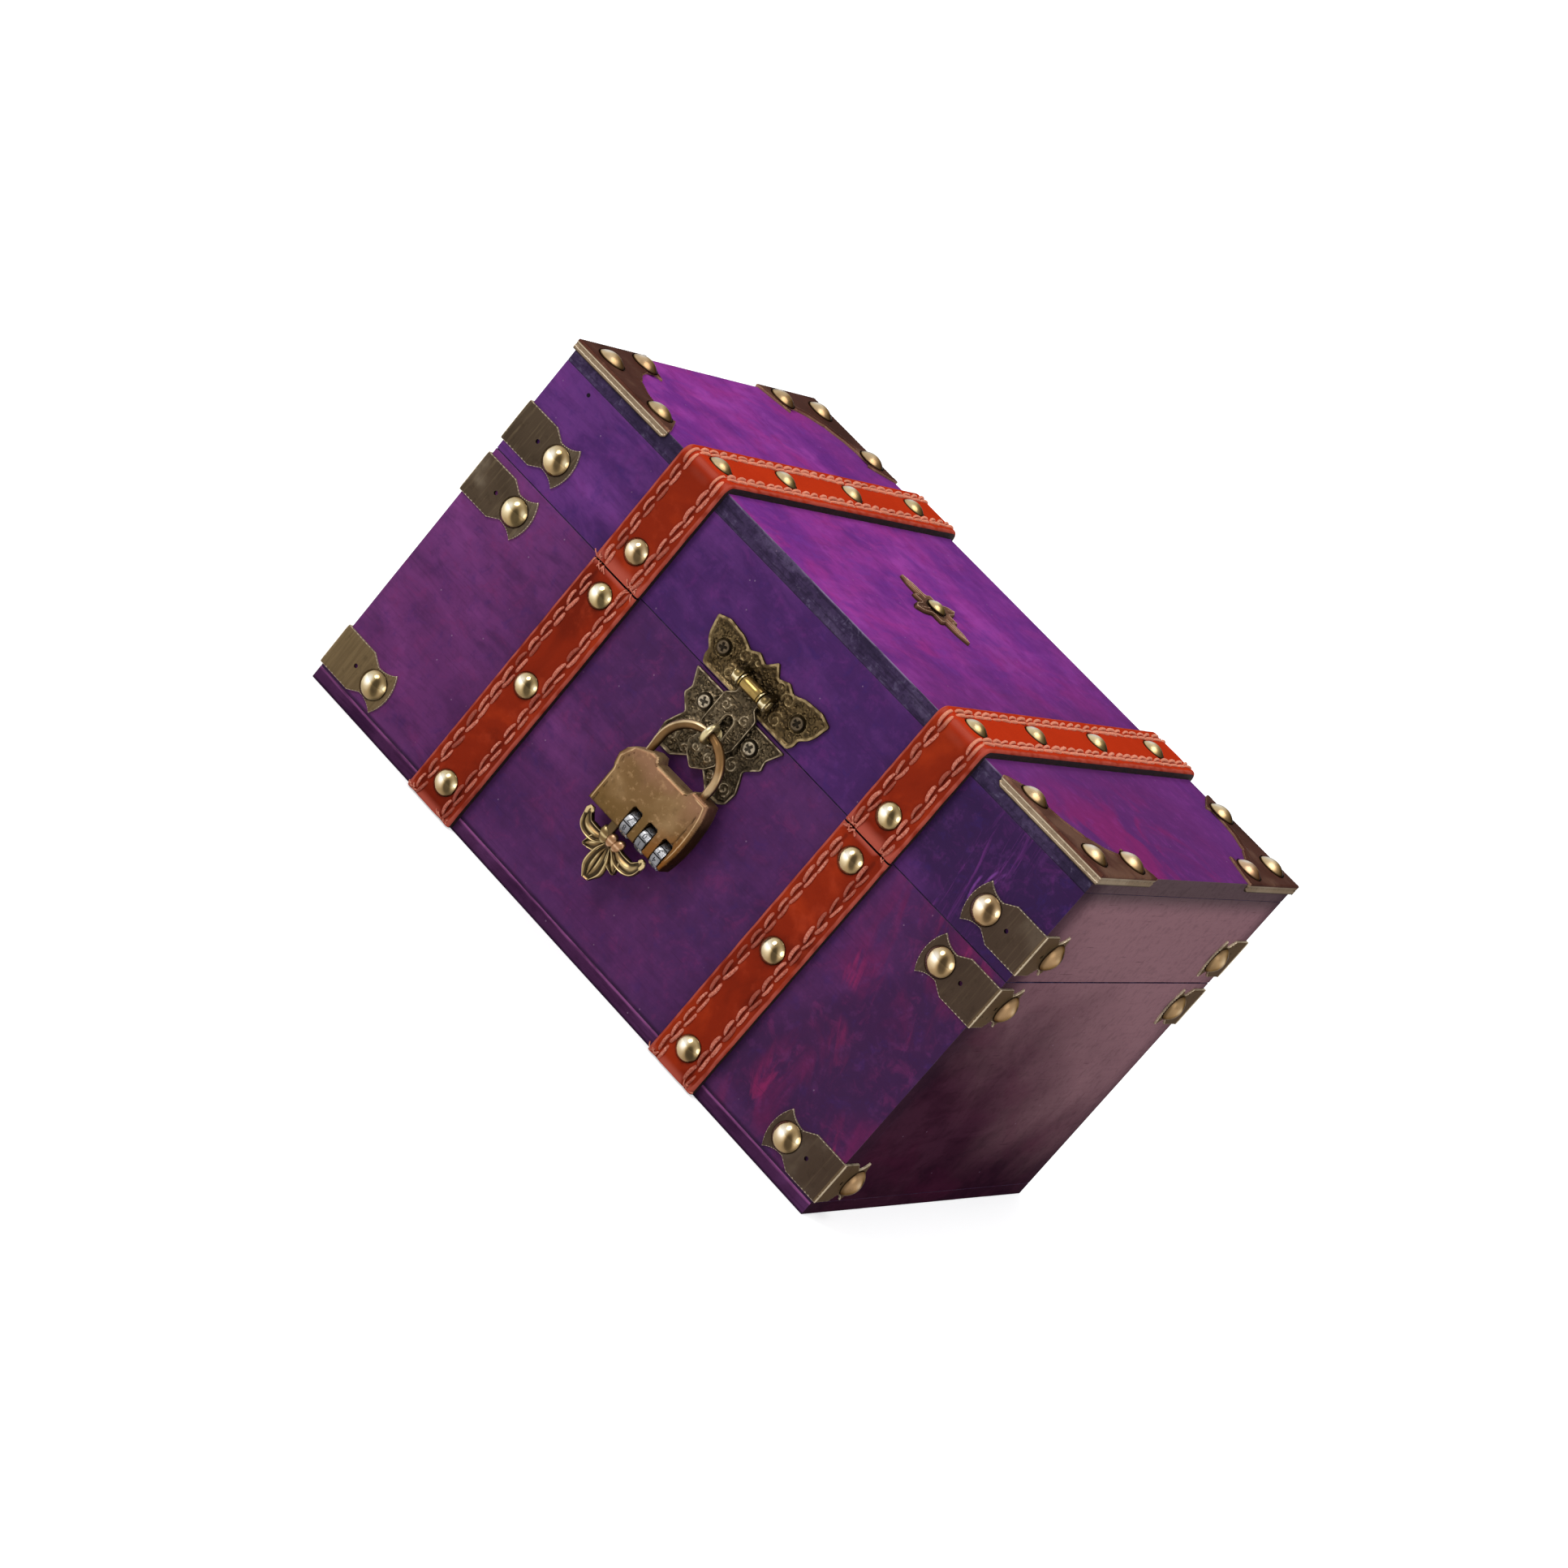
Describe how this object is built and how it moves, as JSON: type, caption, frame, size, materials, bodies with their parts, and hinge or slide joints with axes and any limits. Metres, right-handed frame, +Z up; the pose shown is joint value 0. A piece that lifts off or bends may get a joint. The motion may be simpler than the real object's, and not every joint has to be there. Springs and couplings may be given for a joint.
{
  "type": "treasure chest box",
  "caption": "Hinged wooden keepsake chest with nailed leather straps, stamped metal corners, a butterfly hasp and a small dial padlock.",
  "frame": {"origin": "centre of the bottom board's underside, on the surface that the chest stands on", "axes": "+Z up, +X along the chest's length to the viewer's right, front with the hasp towards -Y"},
  "size_m": [0.2322, 0.1706, 0.1364],
  "materials": {
    "wood_base": "satin",
    "wood_lid": "satin",
    "wood_top": "satin",
    "wood_bottom": "satin",
    "strap_leather": "satin",
    "nail_brass": "polished",
    "corner_bronze": "satin",
    "hinge_brass": "satin",
    "screw_steel": "satin",
    "hasp_bronze": "satin",
    "hasp_pin_brass": "polished",
    "lock_bronze": "satin",
    "lock_fleur_bronze": "satin",
    "dial_nickel": "satin",
    "axle_steel": "satin"
  },
  "bodies": {
    "base": {"base_back_wall": "wood_base", "base_bottom_board": "wood_bottom", "base_clip_nails": "nail_brass", "base_front_wall": "wood_base", "base_high_clip_back_left": "corner_bronze", "base_high_clip_back_right": "corner_bronze", "base_high_clip_front_left": "corner_bronze", "base_high_clip_front_right": "corner_bronze", "base_left_wall": "wood_base", "base_low_clip_front_left": "corner_bronze", "base_low_clip_front_right": "corner_bronze", "base_right_wall": "wood_base", "base_strap_back_left": "strap_leather", "base_strap_back_right": "strap_leather", "base_strap_front_left": "strap_leather", "base_strap_front_right": "strap_leather", "base_strap_nails": "nail_brass", "hinge_base_leaf_left": "hinge_brass", "hinge_base_leaf_right": "hinge_brass", "hinge_base_screws": "screw_steel", "hinge_pins": "hinge_brass", "hasp_lower_plate": "hasp_bronze", "hasp_lower_screws": "screw_steel"},
    "lid": {"lid_back_wall": "wood_lid", "lid_clip_back_left": "corner_bronze", "lid_clip_back_right": "corner_bronze", "lid_clip_front_left": "corner_bronze", "lid_clip_front_right": "corner_bronze", "lid_clip_nails": "nail_brass", "lid_emblem": "corner_bronze", "lid_emblem_nail": "nail_brass", "lid_front_wall": "wood_lid", "lid_left_wall": "wood_lid", "lid_plate_back_left": "corner_bronze", "lid_plate_back_right": "corner_bronze", "lid_plate_front_left": "corner_bronze", "lid_plate_front_right": "corner_bronze", "lid_plate_nails": "nail_brass", "lid_right_wall": "wood_lid", "lid_strap_left": "strap_leather", "lid_strap_nails": "nail_brass", "lid_strap_right": "strap_leather", "lid_top_board": "wood_top", "hinge_lid_leaf_left": "hinge_brass", "hinge_lid_leaf_right": "hinge_brass", "hinge_lid_screws": "screw_steel", "hasp_upper_plate": "hasp_bronze", "hasp_upper_screws": "screw_steel", "hasp_pin": "hasp_pin_brass"},
    "tongue": {"hasp_tongue": "hasp_bronze", "hasp_staple_ring": "hasp_bronze"},
    "shackle": {"lock_shackle": "lock_bronze"},
    "lock": {"lock_case": "lock_bronze", "lock_dial_axle": "axle_steel", "lock_fleur": "lock_fleur_bronze"},
    "dial_1": {"lock_dial_1": "dial_nickel"},
    "dial_2": {"lock_dial_2": "dial_nickel"},
    "dial_3": {"lock_dial_3": "dial_nickel"}
  },
  "joints": [
    {"name": "lid_hinge", "type": "hinge", "parent": "base", "child": "lid", "pos_m": [0, 0.08, 0.0905], "axis": [-1, 0, 0], "range_deg": [0, 110]},
    {"name": "hasp_flip", "type": "hinge", "parent": "lid", "child": "tongue", "pos_m": [0, -0.0808, 0.09715], "axis": [-1, 0, 0], "range_deg": [0, 105]},
    {"name": "padlock_swing", "type": "hinge", "parent": "tongue", "child": "shackle", "pos_m": [0, -0.0835, 0.07965], "axis": [-1, 0, 0], "range_deg": [0, 50]},
    {"name": "padlock_pull", "type": "slide", "parent": "shackle", "child": "lock", "axis": [0, 0, -1], "range_m": [0, 0.006]},
    {"name": "dial_1_turn", "type": "hinge", "parent": "lock", "child": "dial_1", "pos_m": [0, -0.0835, 0.0448], "axis": [1, 0, 0], "continuous": true},
    {"name": "dial_2_turn", "type": "hinge", "parent": "lock", "child": "dial_2", "pos_m": [0.0067, -0.0835, 0.0448], "axis": [1, 0, 0], "continuous": true},
    {"name": "dial_3_turn", "type": "hinge", "parent": "lock", "child": "dial_3", "pos_m": [0.0134, -0.0835, 0.0448], "axis": [1, 0, 0], "continuous": true}
  ]
}
